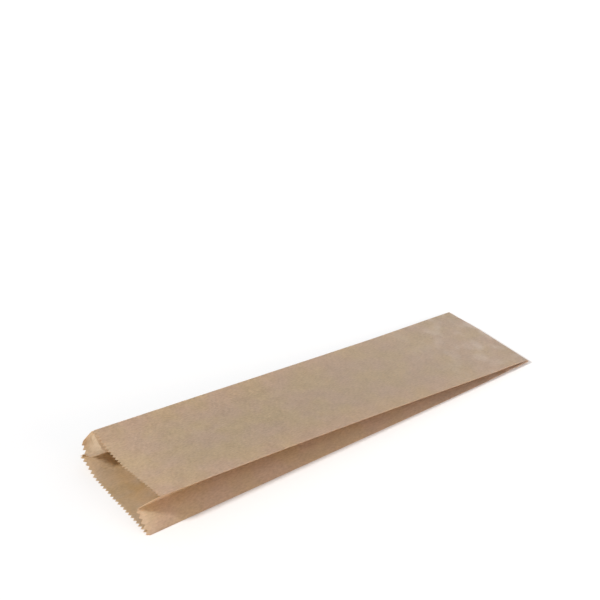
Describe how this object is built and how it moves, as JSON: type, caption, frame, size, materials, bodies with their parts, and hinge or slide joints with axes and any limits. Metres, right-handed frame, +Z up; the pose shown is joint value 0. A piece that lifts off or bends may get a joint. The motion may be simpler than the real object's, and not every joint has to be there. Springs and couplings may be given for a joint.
{
  "type": "wine bottle bag",
  "caption": "Flat kraft-paper bag for a wine bottle: folded side gussets, zigzag-cut mouth with the front set back and propped slightly open, and a folded, glued closed end.",
  "frame": {"origin": "on the floor under the middle of the bag, which lies on its back panel", "axes": "+X runs along the bag from the mouth to the closed end, +Y across it towards the far side, +Z up from the back panel to the front panel"},
  "size_m": [0.4086, 0.11, 0.0314],
  "materials": {
    "kraft_paper": "matte"
  },
  "bodies": {
    "root": {"kraft_paper_bag": "kraft_paper"}
  },
  "joints": []
}
